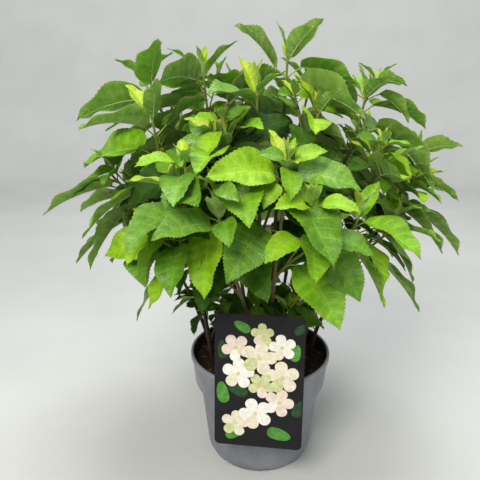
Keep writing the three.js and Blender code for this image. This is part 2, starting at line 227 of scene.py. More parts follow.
# Calendered board, printed black and varnished: deep black under a thin, even satin.
labelBoard = mottled(
    "varnishedBlackBoard", {"Roughness": 0.5, "Specular IOR Level": 0.3},
    "#0b0a0d", "#131217", grain=18, bumpGrain=0.9, depth=0.01)
inkColours = {
    "creamInk": ("#d8ceb6", "#ece4d0"),
    "whiteInk": ("#e2dfd6", "#f2f0e9"),
    "blushInk": ("#dcc7bb", "#eadbd0"),
    "paleGreenInk": ("#b9bf83", "#d3d6a4"),
    "leafInk": ("#3d7a2c", "#5a9a3c"),
    "darkLeafInk": ("#1c3a20", "#2a4f2c"),
}
inks = [
    mottled(name, {"Roughness": 0.5, "Specular IOR Level": 0.3}, *codes, grain=6, bumpGrain=0.9, depth=0.01)
    for name, codes in inkColours.items()
]


leafGrain = {"cloud": 14, "net": 4.0, "netDepth": 0.001, "netTint": (0.09, -0.05), "ribTint": 0.2}


# Hydrangea leaf: a thin living blade, lightly quilted and hairless, so its light is soft and a little passes
# through it. One pair of greens for each age and, for leaves inside the crown, darker pairs that are painted
# shade, dealt out leaf by leaf: the deeper one lies between the veins and the lighter one beside them, as the
# mesh's rib number says. A noise of leaf-cell clouds blends them, and the net of the finest veins, whose
# meshes are 4 mm wide, lies sunk in the surface and tints it.
def leafFinish(name, dark, light, roughness, gloss, through):
    material, tree, shader, place = newMaterial(name, {
        "Roughness": roughness, "IOR": 1.42, "Specular IOR Level": gloss,
        "Subsurface Weight": through, "Subsurface Radius": (0.4, 1.0, 0.12), "Subsurface Scale": 0.0016,
    })
    rib = addNode(tree, "ShaderNodeAttribute", {"attribute_name": "rib"}).outputs["Fac"]
    cloud = addNoise(tree, place, 1000 / leafGrain["cloud"])
    net = addNode(tree, "ShaderNodeTexVoronoi", {"feature": "DISTANCE_TO_EDGE"}, {
        "Vector": place, "Scale": 1000 / leafGrain["net"]}).outputs["Distance"]
    least, most = leafGrain["netTint"]
    swell = addNode(tree, "ShaderNodeMapRange", {}, {
        "Value": net, "From Max": 0.3, "To Min": least, "To Max": most}).outputs["Result"]
    both = addNode(tree, "ShaderNodeMath", {"operation": "MULTIPLY_ADD"}, {
        0: rib, 1: leafGrain["ribTint"], 2: cloud})
    blend = addNode(tree, "ShaderNodeMath", {"operation": "ADD"}, {0: both.outputs[0], 1: swell})
    colour = addRamp(tree, blend.outputs[0], ((0.36, dark), (0.86, light)))
    tree.links.new(colour, shader.inputs["Base Color"])
    addBump(tree, shader, net, 0.8, leafGrain["netDepth"])
    return material


# each row: the green where it is deepest and where it is lightest, its veins, roughness, gloss and the
# share of light let through
leafGreens = {
    "leafUnfolding": ("#97a71f", "#bac942", "#c9d466", 0.52, 0.4, 0.2),
    "leafNew": ("#829d0f", "#a8c22c", "#c0d35a", 0.5, 0.4, 0.2),
    "leafBright": ("#6e9c0a", "#93c11e", "#bcd95a", 0.48, 0.4, 0.2),
    "leafFresh": ("#5a8a0a", "#82b424", "#acd056", 0.46, 0.4, 0.18),
    "leafGrown": ("#446f0e", "#689726", "#98bc54", 0.43, 0.4, 0.15),
    "leafCool": ("#517e20", "#78a63c", "#a8c870", 0.38, 0.45, 0.12),
    # the two rows below are darker greens, painted shade for leaves inside the crown; the shaded one also
    # comes at random on the oldest pairs
    "leafShaded": ("#2c4f0c", "#48701c", "#6c9040", 0.52, 0.22, 0.1),
    "leafDeepPaintedShade": ("#1d380a", "#335514", "#50742e", 0.58, 0.15, 0.08),
}
leafNames = list(leafGreens)
leafFinishes = [leafFinish(name, low, high, rough, gloss, through)
                for name, (low, high, vein, rough, gloss, through) in leafGreens.items()]
veinFinishes = [leafFinish(name + "Vein", high, vein, 0.5, gloss, 0.1)
                for name, (low, high, vein, rough, gloss, through) in leafGreens.items()]
leafUnderside = leafFinish("leafUnderside", "#76943f", "#9ab566", 0.62, 0.3, 0.15)
undersideVein = leafFinish("undersideVein", "#a4b96f", "#b9cb88", 0.6, 0.3, 0.1)
leafStalk = mottled(
    "leafStalkSkin", {"Roughness": 0.48, "IOR": 1.42, "Specular IOR Level": 0.4},
    "#7d8f3a", "#98a84f", grain=14, bumpGrain=1.5, depth=0.1)


# Young bark: smooth and green on this year's wood, then thin, brown and finely split, with pale corky dots.
# The ripe number on the mesh runs from 0 at a tip to 1 at the foot, and blends the two.
def barkFinish():
    material, tree, shader, place = newMaterial("youngBark", {"Roughness": 0.62, "Specular IOR Level": 0.35})
    ripe = addNode(tree, "ShaderNodeAttribute", {"attribute_name": "ripe"}).outputs["Fac"]
    ages = addRamp(tree, ripe, (
        (0.0, "#7f9436"), (1.0, "#2b1a15"), (0.3, "#6c6a34"), (0.55, "#5a4030"), (0.8, "#3c241c")))
    stretch = addNode(tree, "ShaderNodeMapping", {}, {"Vector": place, "Scale": (1.0, 1.0, 0.16)})
    streaks = addNoise(tree, stretch.outputs["Vector"], 700.0)
    worn = addNode(tree, "ShaderNodeMix", {"data_type": "RGBA", "blend_type": "MULTIPLY"}, {
        0: 0.7, 6: ages, 7: tone("#9a8f80")})
    light = addNode(tree, "ShaderNodeMix", {"data_type": "RGBA"}, {0: streaks, 6: worn.outputs[2], 7: ages})
    tree.links.new(light.outputs[2], shader.inputs["Base Color"])
    addBump(tree, shader, streaks, 0.8, 0.0003)
    return material


bark = barkFinish()
print("materials made")


# The pot: a tapering body, a shoulder, a wider band and a rolled lip, with drain slots at its foot.
pot = {
    "height": 180, "wall": 1.6, "lipRadius": 115, "lipDepth": 8, "lipOverhang": 2.4,
    "bandFootRadius": 108.5, "bandFootHeight": 128, "shoulderRadius": 98.5, "shoulderHeight": 113,
    "bodyFootRadius": 88, "bodyFootHeight": 12, "baseRadius": 81.5,
    "drainHoles": 8, "drainTurn": 97.5, "drainWidth": 16, "drainHeight": 5, "drainDepth": 2.6,
    "drainEdge": 1.2, "drainStep": 0.3, "drainIn": 8, "recess": 14, "lipPoints": 4, "segments": 240,
}


# Rounds the corners of a line: each corner becomes the curve (1-t)^2 a + 2t(1-t) corner + t^2 b between the
# points a and b that lie as far before and after it as its own rounding says.
def roundedLine(corners, steps=5):
    corners = np.array(corners, float)
    spots, rounding = corners[:, :2], corners[1:-1, 2:]
    before = spots[1:-1] + unit(spots[:-2] - spots[1:-1]) * rounding
    after = spots[1:-1] + unit(spots[2:] - spots[1:-1]) * rounding
    t = np.linspace(0, 1, steps)[None, :, None]
    bends = (1 - t) ** 2 * before[:, None] + 2 * t * (1 - t) * spots[1:-1, None] + t ** 2 * after[:, None]
    return np.concatenate([spots[:1], bends.reshape(-1, 2), spots[-1:]])


# The pot's line from the middle of its underside out, up, over the lip and down inside: each corner's
# radius, height and rounding.
def potLine():
    p = pot
    lipFoot = p["height"] - p["lipDepth"]
    bandTop = p["lipRadius"] - p["lipOverhang"]
    outside = [
        (p["baseRadius"], 0, 1.2), (p["bodyFootRadius"], p["bodyFootHeight"], 5),
        (p["shoulderRadius"], p["shoulderHeight"], 4), (p["bandFootRadius"], p["bandFootHeight"], 3.5),
        (bandTop, lipFoot, 0.8),
    ]
    lip = [(p["lipRadius"], lipFoot, 0.8), (p["lipRadius"], p["height"], 1.6)]
    inside = [(r - p["wall"], max(z, p["wall"]), c) for r, z, c in reversed(outside)]
    rim = [(bandTop - p["wall"], p["height"], 1.2)]
    floor = [(0, 0, 0), (p["baseRadius"] - p["recess"], 0, 2)]
    return roundedLine(floor + outside + lip + rim + inside + [(0, p["wall"], 0)])


# The pot's line turned about the axis. The drain slots are pressed in at the foot: the radius falls by their
# depth across their width, and over drainEdge at each side. The inside is the black inner layer, and the
# slots' faces are painted black as painted shade for open drain holes.
def makePot():
    p = pot
    line = potLine()
    rise = [p["drainHeight"] - p["drainStep"], p["drainHeight"]]
    foot = np.interp(rise, [0, p["bodyFootHeight"]], [p["baseRadius"], p["bodyFootRadius"]])
    ring = line[1:-1]
    cut = np.argmax((ring[:, 1] > p["drainHeight"]) & (ring[:, 0] > p["baseRadius"]))
    ring = np.concatenate([ring[:cut], np.stack([foot, rise], -1), ring[cut:]])
    turn = fullTurn(p["segments"])
    hole = np.radians(p["drainTurn"]) + 2 * np.pi * np.arange(p["drainHoles"]) / p["drainHoles"]
    away = np.abs((turn[:, None] - hole + np.pi) % (2 * np.pi) - np.pi).min(1) * p["bodyFootRadius"]
    slot = np.clip((p["drainWidth"] / 2 + p["drainEdge"] / 2 - away) / p["drainEdge"], 0, 1)
    low = (np.arange(len(ring)) < cut + 1) & (ring[:, 0] > p["baseRadius"] - p["drainIn"])
    points = aroundAxis(ring[:, 0, None] - p["drainDepth"] * slot * low[:, None], turn, ring[:, 1, None])
    points = np.concatenate([points.reshape(-1, 3), [[0, 0, 0], [0, 0, p["wall"]]]])
    quads, ends = ringFaces(1, len(ring), p["segments"], poles=True)
    rows = np.arange(len(ring) - 1)[:, None]
    inner = rows > int(np.argmax(ring[:, 1])) + p["lipPoints"]
    pressed = (slot + np.roll(slot, -1))[None] > 1.2
    # the pressed slots' faces, painted black: painted shade for open drain holes
    slotShadeFaces = (rows < cut + 1) & (rows >= np.argmax(low)) & pressed
    marks = [np.where(inner | slotShadeFaces, 1, 0), np.repeat([0, 1], p["segments"])]
    piece = makePiece("pot_shell", points, [quads, ends], [potPlastic, potInsideAndSlotShade], marks, sharp=40)
    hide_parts("pot")


makePot()


# The soil with its lumps, the crumbs that are half sunk in them, and the fibres that lie on them.
soil = {
    "height": 160, "mound": 6, "rows": 44, "segments": 150, "gap": 0.3, "middle": 2.5,
    "lumps": 40, "lumpLength": (5, 34), "lumpHeight": 0.014,
}
crumb = {
    "count": 620, "reach": 103, "least": 0.9, "spread": 2.6, "skew": 2.5, "sides": 6,
    "wide": (0.75, 1.25), "high": (0.8, 1.2), "rings": (-0.25, 0.45), "ends": (-0.8, 0.85),
}
fibre = {
    "count": 170, "reach": 98, "within": 106, "length": (7, 26), "bow": 0.25, "radius": (0.25, 0.55),
    "lift": (0.2, 1.6), "stations": 6, "sides": 4,
}


# The soil's height at a distance from the axis: a mound that falls with the square of it.
def soilTop(reach):
    return soil["height"] + soil["mound"] * np.clip(1 - (reach / pot["shoulderRadius"]) ** 2, 0, None)


# Lumps on the soil: a sum of many small waves, each with its own direction, length and start.
def soilLumps(x, y):
    rng = np.random.default_rng(41)
    length = rng.uniform(*soil["lumpLength"], soil["lumps"])
    turn = rng.uniform(0, np.pi, soil["lumps"])
    start = rng.uniform(0, 2 * np.pi, soil["lumps"])
    phase = (x[..., None] * np.cos(turn) + y[..., None] * np.sin(turn)) * 2 * np.pi / length + start
    return (np.sin(phase) * soil["lumpHeight"] * length).sum(-1)


# The soil fills the pot: rings out along its floor, up its wall and in over the lumpy top to the middle.
def makeSoil():
    p = pot
    inset = p["wall"] + soil["gap"]
    turn = fullTurn(soil["segments"])
    share = (soil["height"] - p["bandFootHeight"]) / (p["height"] - p["lipDepth"] - p["bandFootHeight"])
    wallTop = lerp(p["bandFootRadius"], p["lipRadius"] - p["lipOverhang"], share) - inset - 0.4
    wall = np.array([
        [p["baseRadius"] - inset - 0.2, inset], [p["bodyFootRadius"] - inset - 0.2, p["bodyFootHeight"]],
        [p["shoulderRadius"] - inset - 0.2, p["shoulderHeight"]],
        [p["bandFootRadius"] - inset - 0.4, p["bandFootHeight"]], [wallTop, soil["height"] - 3],
    ])
    reach = np.linspace(wallTop, soil["middle"], soil["rows"])
    x, y = reach[:, None] * np.cos(turn), reach[:, None] * np.sin(turn)
    top = np.stack([x, y, soilTop(reach)[:, None] + soilLumps(x, y)], -1)
    side = aroundAxis(wall[:, :1], turn, wall[:, 1:])
    points = np.concatenate([side, top]).reshape(-1, 3)
    points = np.concatenate([points, [[0, 0, inset], [0, 0, soilTop(0)]]])
    faces = ringFaces(1, len(wall) + len(reach), soil["segments"], poles=True)
    piece = makePiece("soil_body", points, faces, [peat], sharp=60)
    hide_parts("soil")


# Even scatter over a disc: the distance goes with the square root of a number from 0 to 1.
def scattered(rng, count, most):
    return most * np.sqrt(rng.random(count)), rng.uniform(0, 2 * np.pi, count)


# Crumbs: small uneven lumps of two rings and two end points. Most are small, as a power of a number from 0
# to 1.
def makeCrumbs(rng):
    count, sides = crumb["count"], crumb["sides"]
    reach, bearing = scattered(rng, count, crumb["reach"])
    x, y = reach * np.cos(bearing), reach * np.sin(bearing)
    height = soilTop(reach) + soilLumps(x, y)
    size = crumb["least"] + crumb["spread"] * rng.random(count) ** crumb["skew"]
    around = fullTurn(sides)
    wide = size[:, None, None] * rng.uniform(*crumb["wide"], (count, 2, sides))
    level = np.array(crumb["rings"])[None, :, None] * size[:, None, None] \
        * rng.uniform(*crumb["high"], (count, 2, sides))
    ring = np.stack([x[:, None, None] + wide * np.cos(around), y[:, None, None] + wide * np.sin(around),
                     height[:, None, None] + level], -1).reshape(count, 2 * sides, 3)
    ends = np.stack([np.stack([x, y, height + lift * size], -1) for lift in crumb["ends"]], 1)
    points = np.concatenate([ring, ends], 1)
    piece = makePiece("soil_crumbs", points, ringFaces(count, 2, sides, poles=True), [peat], sharp=35)
    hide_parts("soil")


# Fibres: thin tubes, bent by bow (1 - 4 s^2) with s from -1/2 to 1/2 along them.
def makeFibres(rng):
    count, stations, sides = fibre["count"], fibre["stations"], fibre["sides"]
    reach, bearing = scattered(rng, count, fibre["reach"])
    length, turn = rng.uniform(*fibre["length"], count), rng.uniform(0, np.pi, count)
    step = np.linspace(-0.5, 0.5, stations)
    bow = rng.uniform(-fibre["bow"], fibre["bow"], count)[:, None] * length[:, None] * (1 - 4 * step ** 2)
    reach, bearing, length, turn = (row[:, None] for row in (reach, bearing, length, turn))
    x = reach * np.cos(bearing) + length * step * np.cos(turn) - bow * np.sin(turn)
    y = reach * np.sin(bearing) + length * step * np.sin(turn) + bow * np.cos(turn)
    far = np.hypot(x, y)
    x, y = x * np.minimum(1, fibre["within"] / far), y * np.minimum(1, fibre["within"] / far)
    z = soilTop(np.hypot(x, y)) + soilLumps(x, y) + rng.uniform(*fibre["lift"], (count, 1)) \
        + 0.5 * np.cos(6 * step)
    radii = rng.uniform(*fibre["radius"], (count, 1)) * np.ones(stations)
    points = tubePoints(np.stack([x, y, z], -1), radii, sides)
    piece = makePiece("soil_fibres", points, ringFaces(count, stations, sides), [dryFibre])
    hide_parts("soil")


makeSoil()
litter = np.random.default_rng(42)
makeCrumbs(litter)
makeFibres(litter)

# The label hangs on the rim by a tongue that is folded over it and pushed into the soil.
label = {
    "width": 130, "height": 207, "thick": 0.8, "corner": 8, "edge": 0.2, "belowRim": 98, "fromRim": 0.3,
    "yaw": 5, "aside": 9, "lean": 5, "tongueWidth": 16, "tongueThick": 1, "tongueFrom": -0.4,
    "tongueOver": 14, "tongueBack": 26, "tongueReach": 50, "tonguePoint": 14,
}


# From the label's own frame, with x right, y back and z up from the rim: turned about x, moved to the rim
# and turned about z.
def labelPlace(points):
    lean, yaw = math.radians(label["lean"]), math.radians(label["yaw"])
    x, y, z = np.moveaxis(points, -1, 0)
    y, z = y * math.cos(lean) + z * math.sin(lean), z * math.cos(lean) - y * math.sin(lean)
    x, y, z = x + label["aside"], y - pot["lipRadius"] - label["fromRim"], z + pot["height"]
    return np.stack([x * math.cos(yaw) + y * math.sin(yaw), y * math.cos(yaw) - x * math.sin(yaw), z], -1)


# A rounded rectangle, anticlockwise: four quarter circles about the corners' centres, drawn in by inset.
def cardOutline(inset):
    side, low = label["width"] / 2, -label["belowRim"]
    high, corner = label["height"] - label["belowRim"], label["corner"]
    centres = np.array([[side - corner, high - corner], [corner - side, high - corner],
                        [corner - side, low + corner], [side - corner, low + corner]])
    turn = np.linspace(0, np.pi / 2, 9)[None] + np.pi / 2 * np.arange(4)[:, None]
    arc = np.stack([np.cos(turn), np.sin(turn)], -1) * (corner - inset)
    return (centres[:, None] + arc).reshape(-1, 2)


# The card is a stack of four outlines. The tongue is a line with the width across it and half its thickness
# along the line's normal, and it tapers to its point behind.
def makeLabel():
    edge, thick = label["edge"], label["thick"]
    layers = ((edge, 0), (0, -edge), (0, edge - thick), (edge, -thick))
    card = labelPlace(np.array([np.insert(cardOutline(inset), 1, depth, -1) for inset, depth in layers]))
    half, back = label["tongueThick"] / 2, label["tongueBack"]
    over, point = label["tongueOver"], label["tonguePoint"] - label["tongueReach"]
    line = roundedLine([(label["tongueFrom"], over, 0), (back, over, 3), (back, point, 1),
                        (back, -label["tongueReach"], 0)], 6)
    slope = unit(np.gradient(line, axis=0))
    normal = np.stack([-slope[:, 1], slope[:, 0]], -1) * half
    taper = np.interp(line[:, 1], [-label["tongueReach"], point], [0.1, 1])
    wide = label["tongueWidth"] / 2 * np.where(line[:, 0] > back - 1, taper, 1)
    corners = [(1, 1), (-1, 1), (-1, -1), (1, -1)]
    strip = [np.insert(line + lift * normal, 0, side * wide, -1) for side, lift in corners]
    tongue = labelPlace(np.stack(strip, 1))
    quads, ends = ringFaces(1, 4, card.shape[1])
    moreQuads, moreEnds = ringFaces(1, len(line), 4)
    shift = card.shape[0] * card.shape[1]
    points = np.concatenate([card.reshape(-1, 3), tongue.reshape(-1, 3)])
    faceSets = [quads, ends, moreQuads + shift, moreEnds + shift]
    piece = makePiece("label_card", points, faceSets, [labelBoard], sharp=40)
    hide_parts("plant_label")


# The print is a loose garland of open five-petalled blossoms with leaves, in thin films on the board. Each
# row of blossoms and of sprigs, which are its leaves, gives the middle across and up, the size or length,
# the turn and the number of the ink.
printing = {
    "film": 0.05, "step": 0.012, "sunk": 0.1, "margin": 2, "points": 22,
    "petals": 5, "petalWidth": 0.44, "leafWidth": 0.23, "eye": 6, "eyeInk": 3,
}
blossoms = [
    (-34, -62, 21, 10, 0), (-4, -44, 25, 40, 1), (30, -24, 22, 0, 2), (34, 16, 25, 25, 0), (4, 2, 20, 60, 3),
    (-30, 18, 24, 15, 1), (-34, 58, 21, 50, 2), (0, 44, 26, 5, 0), (33, 62, 20, 30, 1), (4, 80, 17, 20, 3),
]
sprigs = [
    (-50, -30, 34, 100, 4), (14, -70, 36, -15, 4), (52, -44, 30, 60, 5), (50, 42, 26, 80, 4),
    (-52, 40, 28, 95, 5), (-16, -14, 30, 160, 5), (-14, 84, 26, 150, 4), (50, 84, 22, 40, 5),
    (-48, -84, 26, 20, 4),
]


# Flat films: outlines in the label's plane, each a hair higher than the last, closed in front and behind.
def makeFilms(name, outlines, marks):
    count, corners = outlines.shape[:2]
    height = label["thick"] + printing["film"] + printing["step"] * np.arange(count)
    behind = np.insert(outlines, 1, -label["thick"] + printing["sunk"], -1)
    before = np.insert(outlines, 1, -height[:, None], -1)
    points = labelPlace(np.stack([behind, before], 1))
    marks = [np.repeat(marks, corners), np.repeat(marks, 2)]
    piece = makePiece(name, points, ringFaces(count, 2, corners), inks, marks, sharp=40)
    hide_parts("plant_label")


# A petal or leaf: x runs from 0 to its length on a cosine, and its half width is width sin a (x / length +
# 0.12)^point, whose power rounds or points the end. It is then turned and moved to its place.
def filmShape(middle, length, width, turn, point):
    phase = fullTurn(printing["points"])
    x = length * (0.5 - 0.5 * np.cos(phase))
    y = -width * np.sin(phase) * (x / length + 0.12) ** point
    c, s = math.cos(turn), math.sin(turn)
    return np.stack([middle[0] + x * c - y * s, middle[1] + x * s + y * c], -1)


def makePrint():
    shapes, marks = [], []
    for across, up, length, turn, ink in sprigs:
        width = length * printing["leafWidth"]
        shapes.append(filmShape((across, up), length, width, math.radians(turn), -0.25))
        marks.append(ink)
    eye, eyeInk = printing["eye"], printing["eyeInk"]
    for across, up, size, turn, ink in blossoms:
        for petal in range(printing["petals"]):
            angle = math.radians(turn + 360 / printing["petals"] * petal)
            shapes.append(filmShape((across, up), size, size * printing["petalWidth"], angle, 0.5))
            marks.append((ink + 3) % 4 if petal == 3 else ink)
        shapes.append(filmShape((across - eye / 2, up), eye, eye / 2, 0, 0))
        marks.append(eyeInk)
    side, low = label["width"] / 2 - printing["margin"], printing["margin"] - label["belowRim"]
    high = label["height"] - label["belowRim"] - printing["margin"]
    makeFilms("label_print", np.clip(np.array(shapes), (-side, low), (side, high)), marks)


makeLabel()
makePrint()

# The plant's rule, as in the part. A bough's seed is firstSeed and seedStep more for each bough before it.
# Every curve is measured at curveSteps, and every shoot's radius is kept at radiusSteps.
curveSteps, radiusSteps = np.linspace(0, 1, 201), np.linspace(0, 1, 61)
stem = {
    "footRadius": 3.4, "flare": 1.45, "flareLength": 9, "tipRadius": 1.6, "bareTo": 262,
    "forkFrom": 0.42, "forkRadius": 0.8, "overSoil": 0.3,
}
# One row a bough: its name, where its foot stands as bearing and distance from the axis, where its leader's
# and its fork's tips end as bearing, distance and height, the turn of the first pair, and its leaves' size
# and lift.
boughs = [
    ("front", (285, 45), (281, 153, 506), (293, 180, 420), 20, 0.84, 0),
    ("front_left", (246, 40), (245, 121, 531), (232, 182, 477), 65, 0.9, 0),
    ("low_front", (256, 30), (254, 184, 449), (220, 190, 416), 10, 0.84, 2),
    ("left", (205, 84), (205, 164, 560), (181, 236, 480), 40, 1, 10),
    ("right", (340, 66), (343, 168, 488), (312, 182, 440), 75, 0.95, 4),
    ("crown", (330, 14), (17, 36, 640), (50, 116, 604), 5, 1.05, 13),
    ("upper_front", (282, 14), (262, 60, 592), (322, 96, 566), 35, 0.9, 6),
    ("left_top", (165, 34), (167, 91, 620), (162, 198, 614), 85, 1, 16),
    ("right_top", (22, 44), (11, 156, 586), (34, 212, 530), 30, 1, 6),
    ("far_right", (8, 84), (2, 218, 462), (340, 196, 412), 55, 0.95, 6),
    ("far_left", (172, 84), (168, 214, 440), (198, 206, 396), 15, 0.95, 6),
    ("back", (108, 36), (112, 132, 592), (92, 198, 512), 50, 1, 6),
    ("back_left", (138, 70), (137, 208, 522), (116, 214, 436), 70, 1, 2),
    ("back_right", (62, 70), (66, 204, 496), (40, 214, 426), 25, 1, 2),
]
# Pairs of leaves from the tip down: distance below it, the blade's length and half width, the stalk's
# length and rise, the blade's pitch at its base and at its end, and how strongly the leaf is drawn
# outwards.
pairs = [
    (2, 42, 0.17, 4, 74, 78, 62, 0),
    (10, 67, 0.225, 9, 55, 40, 12, 0.1),
    (30, 98, 0.31, 24, 40, 0, -34, 0.3),
    (66, 114, 0.33, 38, 30, -24, -56, 0.45),
    (116, 116, 0.33, 48, 20, -34, -64, 0.6),
    (176, 104, 0.33, 50, 10, -42, -70, 0.75),
    (240, 88, 0.33, 44, 2, -48, -76, 0.85),
]
leafRule = {
    "forkScale": 0.9, "fold": (28, 10), "lift": 42, "face": 42,
    "size": 0.13, "heading": 16, "pitch": 16, "roll": 20, "tries": (0, 18, -18, 36, -36),
    "firstSeed": 101, "seedStep": 17, "found": 0.1,
}
crown = {
    "level": 436, "above": 252, "below": 214, "radius": 320, "square": 2.4,
    "labelBehind": 30, "labelAside": 12, "labelSlope": 0.45, "rimAside": 4, "rimOver": 6,
}


# A point of a shoot's curve: the cubic (1-t)^3 a + 3(1-t)^2 t b + 3(1-t) t^2 c + t^3 d of its four points.
def onCurve(curve, t):
    t = np.asarray(t, float)[..., None]
    a, b, c, d = curve
    return (1 - t) ** 3 * a + 3 * (1 - t) ** 2 * t * b + 3 * (1 - t) * t ** 2 * c + t ** 3 * d


# A shoot rises steeply out of its root, leans out to its place and straightens up again at its tip.
def shootCurve(root, tip):
    rise = tip[2] - root[2]
    low, high = lerp(root, tip, 0.16), lerp(root, tip, 0.86)
    low[2], high[2] = root[2] + 0.42 * rise, root[2] + 0.74 * rise
    return np.array([root, low, high, tip])


# A shoot with the lengths along its curve, added up chord by chord.
def newShoot(curve, start, scale, turn, leafFrom, lift):
    chords = np.linalg.norm(np.diff(onCurve(curve, curveSteps), axis=0), axis=-1)
    lengths = np.concatenate([[0], np.cumsum(chords)])
    return {"curve": curve, "start": start, "scale": scale, "turn": turn, "leafFrom": leafFrom, "lift": lift,
            "lengths": lengths, "length": lengths[-1]}


# A bough's radius falls evenly from foot to tip, and its foot flares with the square of the way down to it.
def boughRadius(length, t):
    flare = np.clip(1 - t * length / stem["flareLength"], 0, None)
    return lerp(stem["footRadius"], stem["tipRadius"], t) * (1 + (stem["flare"] - 1) * flare ** 2)


# A bough's leader and its fork. Halving finds the share of the leader at which its leaves begin.
def growBough(row):
    name, (bearing, reach), tip, fork, turn, size, lift = row
    foot = soilTop(max(0, reach - stem["footRadius"] * stem["flare"])) + stem["overSoil"]
    curve = shootCurve(compass(bearing, reach, foot), compass(*tip))
    low, high = 0.0, 1.0
    for _ in range(40):
        middle = (low + high) / 2
        low, high = (middle, high) if onCurve(curve, middle)[2] < stem["bareTo"] else (low, middle)
    leader = newShoot(curve, low, size, turn, low + 0.02, lift)
    leader["thick"] = boughRadius(leader["length"], radiusSteps)
    split = max(stem["forkFrom"], low + 0.03)
    forkThick = boughRadius(leader["length"], split) * stem["forkRadius"]
    side = newShoot(shootCurve(onCurve(curve, split), compass(*fork)), 0.0, size * leafRule["forkScale"],
                    turn + 45, 0.2, lift)
    side["thick"] = lerp(forkThick, stem["tipRadius"], radiusSteps)
    return {"name": name, "bareEnd": low, "leader": leader, "side": side}


# The leaves that a shoot would bear, pair by pair from its tip down, each pair a quarter turn from the
# last.
def leavesOf(shoot, random):
    leaves = []
    for order, (below, blade, half, stalk, rise, *_, drawn) in enumerate(pairs):
        at = 1 - below * shoot["scale"] / shoot["length"]
        if at < shoot["leafFrom"]:
            continue
        t = np.interp(at * shoot["length"], shoot["lengths"], curveSteps)
        node = onCurve(shoot["curve"], t)
        age = order / (len(pairs) - 1)
        outward = unit(node[:2])
        for opposite in (0, 180):
            turn = math.radians(shoot["turn"] + 90 * order + opposite)
            towards = unit(np.array([math.cos(turn), math.sin(turn)]) + outward * drawn)
            swing = [2 * next(random) - 1 for _ in range(4)]
            leaves.append({
                "node": node, "order": order, "age": age, "half": half, "stalk": stalk * shoot["scale"],
                "rise": math.radians(rise),
                "heading": math.atan2(towards[1], towards[0]) + math.radians(leafRule["heading"] * swing[0]),
                "length": blade * shoot["scale"] * (1 + leafRule["size"] * swing[1]),
                "tilt": math.radians(shoot["lift"] * min(1, 2 * age) + leafRule["pitch"] * swing[2]),
                "lean": math.radians(leafRule["roll"] * swing[3]) * min(1, 2 * age),
                "fold": math.radians(lerp(*leafRule["fold"], age)),
                "outward": math.atan2(outward[1], outward[0]),
            })
    return leaves


# The same leaf turned aside, with its stalk set in place, its blade lifted where it points back into the
# plant and rolled where it points aside.
def turned(leaf, aside):
    heading = leaf["heading"] + math.radians(aside)
    level, height = leaf["stalk"] * math.cos(leaf["rise"]), leaf["stalk"] * math.sin(leaf["rise"])
    reach = np.array([level * math.cos(heading), level * math.sin(heading), height])
    off = heading - leaf["outward"]
    mature = min(1, 3 * leaf["age"])
    lifted = leaf["tilt"] + math.radians(leafRule["lift"]) * mature * (1 - math.cos(off)) / 2
    base, end = pairs[leaf["order"]][5:7]
    return {**leaf, "heading": heading, "neck": leaf["node"] + reach, "base": math.radians(base) + lifted,
            "end": math.radians(end) + lifted,
            "roll": leaf["lean"] + math.radians(leafRule["face"]) * mature * math.sin(off)}


def stacked(leaves):
    keys = ("node", "neck", "heading", "base", "end", "roll", "length", "half", "fold", "age", "stalk")
    return {key: np.array([leaf[key] for leaf in leaves], float) for key in keys}


# Each leaf's value, shaped to go with rows and columns of points.
def spread(batch, *keys):
    return (batch[key][:, None, None] for key in keys)


# Points of each leaf. Its midrib bends evenly from the base pitch to the end pitch, so at a share of its
# length it has gone length (sin p - sin base) / bend outwards and length (cos base - cos p) / bend up. From
# there it goes across and over the blade, which is rolled about its midrib.
def onLeaf(batch, share, across, over):
    heading, base, end, roll, length = spread(batch, "heading", "base", "end", "roll", "length")
    pitch = base + (end - base) * share
    out = length * (np.sin(pitch) - np.sin(base)) / (end - base)
    up = length * (np.cos(base) - np.cos(pitch)) / (end - base)
    c, s = np.cos(heading), np.sin(heading)
    spot = batch["neck"][:, None, None] + np.stack([out * c, out * s, up], -1)
    along = np.stack([c * np.cos(pitch), s * np.cos(pitch), np.sin(pitch)], -1)
    flat = np.stack([-c * np.sin(pitch), -s * np.sin(pitch), np.cos(pitch)], -1)
    normal = flat * np.cos(roll)[..., None] + np.cross(along, flat) * np.sin(roll)[..., None]
    side = np.cross(normal, along)
    return spot + side * np.asarray(across)[..., None] + normal * np.asarray(over)[..., None]


# A point on the midrib of one leaf.
def onMidrib(leaf, share):
    return onLeaf(stacked([leaf]), np.full((1, 1, 1), share), 0.0, 0.0).reshape(3)


# The half width of a blade at a share of its length: s^0.6 (1-s)^1.1, as a part of its most.
def bladeShape(share):
    peak = 0.6 / 1.7
    share = np.clip(share, 0, 1)
    return share ** 0.6 * (1 - share) ** 1.1 / (peak ** 0.6 * (1 - peak) ** 1.1)


# Twelve points of one leaf, to tell how close another comes.
def probes(leaf):
    batch = stacked([leaf])
    share = np.array([0.12, 0.4, 0.65, 0.92])[None, :, None]
    v = np.array([-0.7, 0, 0.7])[None, None]
    half = leaf["half"] * leaf["length"] * bladeShape(share)
    return onLeaf(batch, share + 0 * v, v * half * math.cos(leaf["fold"]),
                  np.abs(v) * half * math.sin(leaf["fold"])).reshape(-1, 3)


def nodePoints(name):
    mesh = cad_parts[name].data
    places = np.empty(3 * len(mesh.vertices), np.float32)
    mesh.vertices.foreach_get("co", places)
    return places.reshape(-1, 3) * 1000


# The turn at which a leaf found room in the part, told by its tip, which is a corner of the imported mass.
def asBuilt(leaf, corners):
    for aside in leafRule["tries"]:
        tried = turned(leaf, aside)
        if np.abs(corners - onMidrib(tried, 1.0)).max(1).min() < leafRule["found"]:
            return tried
    return None


